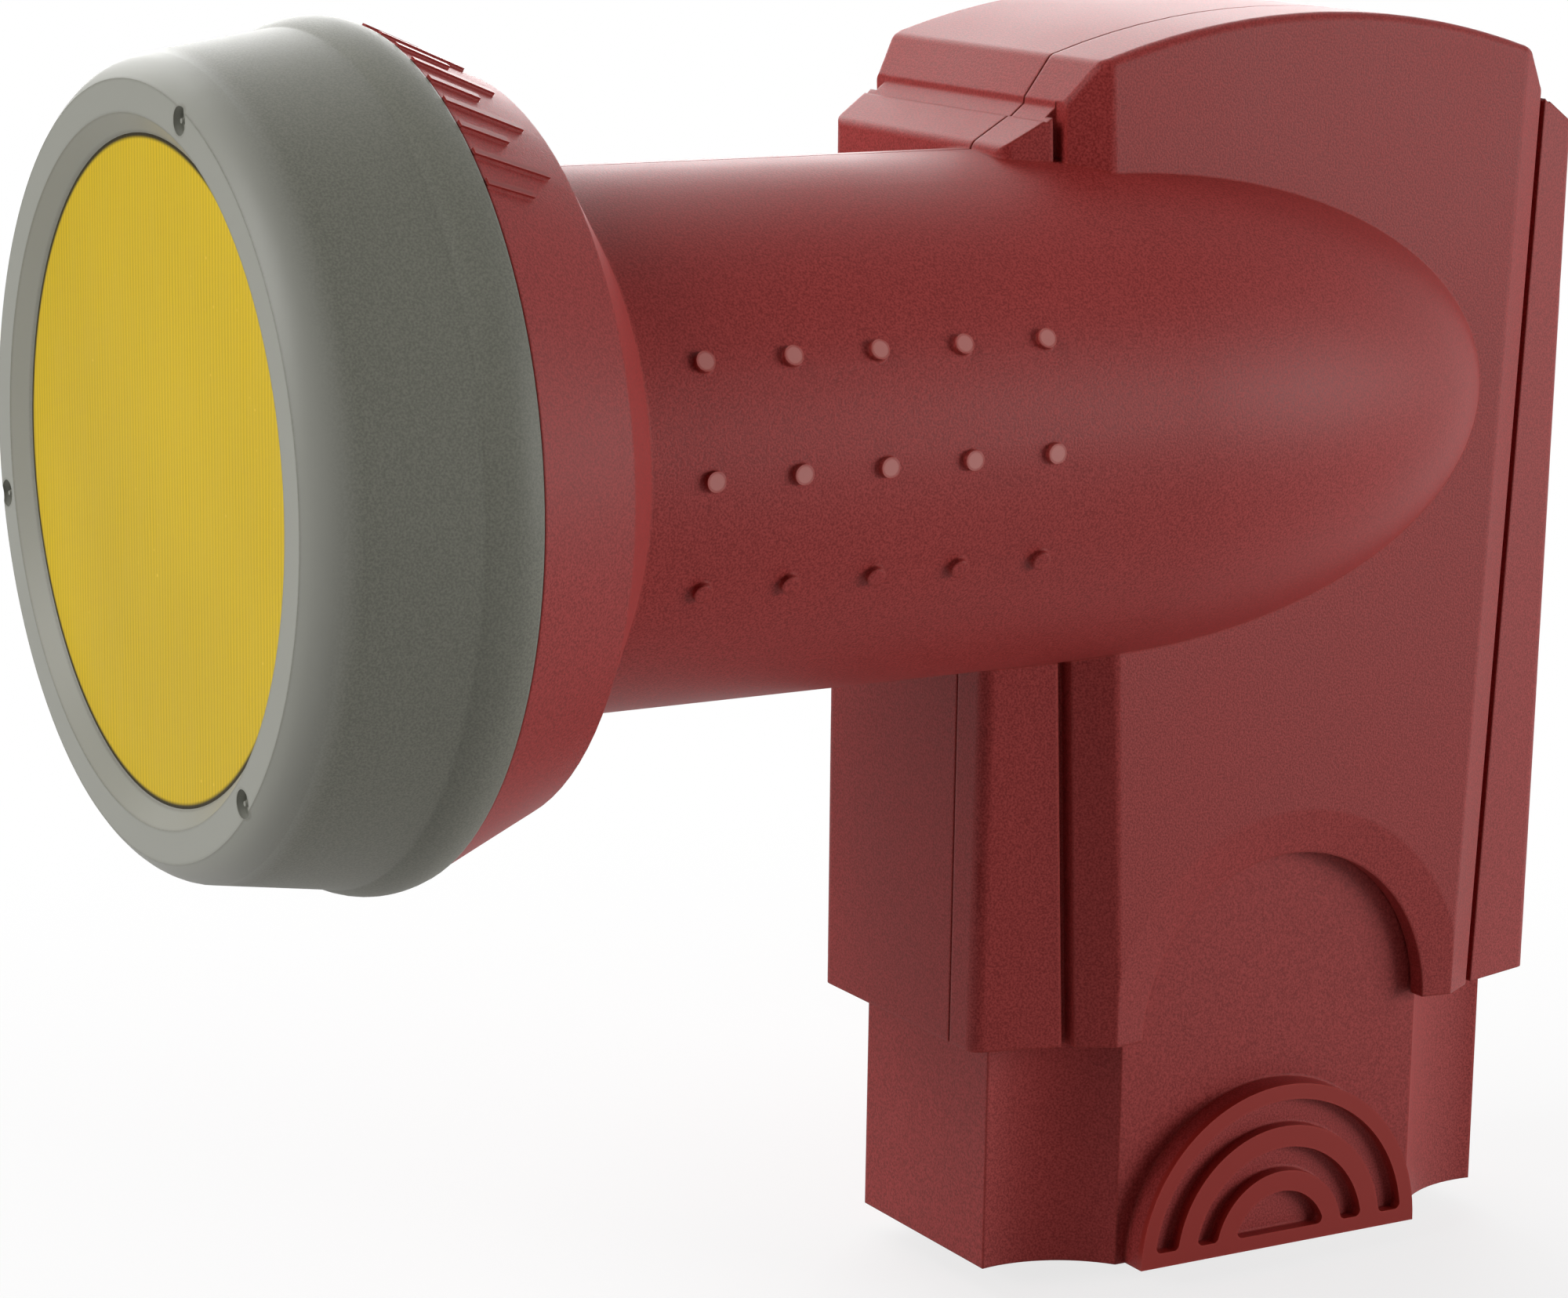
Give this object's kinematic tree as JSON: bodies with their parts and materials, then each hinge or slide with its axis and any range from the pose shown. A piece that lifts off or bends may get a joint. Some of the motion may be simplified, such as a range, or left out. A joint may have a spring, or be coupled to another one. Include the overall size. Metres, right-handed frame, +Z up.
{
  "type": "satellite lnb",
  "caption": "Satellite LNB with a round feed cap, a clamp neck, a split red housing and a weather cover that slides down over threaded connectors.",
  "frame": {"origin": "on the neck axis, in the middle of the zone that the feed clamp grips", "axes": "+Y runs back along the neck from the feed, +Z is up, +X is the side that the neck's fairing bulges on"},
  "size_m": [0.0622, 0.1226, 0.1005],
  "materials": {
    "housing_red": "fine moulded texture",
    "cap_grey": "soft matte",
    "cover_yellow": "satin with fine lines",
    "seal_rubber": "matte",
    "cast_metal": "as cast",
    "lid_metal": "rolled sheet",
    "screw_steel": "zinc plated",
    "board_green": "solder resist",
    "chip_black": "moulded",
    "coil_copper": "enamelled wire",
    "connector_gold": "plated",
    "contact_brass": "plated",
    "insulator_white": "moulded"
  },
  "bodies": {
    "housing": {"bent_probe": "contact_brass", "bent_probe_sleeve": "insulator_white", "cap_ring": "cap_grey", "cap_seal": "seal_rubber", "circuit_board": "board_green", "feed_cover": "cover_yellow", "filter_coils": "coil_copper", "front_connector": "connector_gold", "front_connector_seal": "seal_rubber", "front_contact": "contact_brass", "front_insulator": "insulator_white", "horn_chassis": "cast_metal", "left_shell": "housing_red", "lid_screws": "screw_steel", "mixer_chip": "chip_black", "oscillator_can": "lid_metal", "rear_connector": "connector_gold", "rear_connector_seal": "seal_rubber", "rear_contact": "contact_brass", "rear_insulator": "insulator_white", "reflector_pin": "screw_steel", "regulator_chip": "chip_black", "right_shell": "housing_red", "straight_probe": "contact_brass", "straight_probe_sleeve": "insulator_white", "switch_chip": "chip_black", "tray_gasket": "seal_rubber", "tray_lid": "lid_metal"},
    "weather_cover": {"weather_slider": "housing_red"}
  },
  "joints": [
    {"name": "cover_slide", "type": "slide", "parent": "housing", "child": "weather_cover", "axis": [0, 0, 1], "range_m": [0, 0.019]}
  ]
}
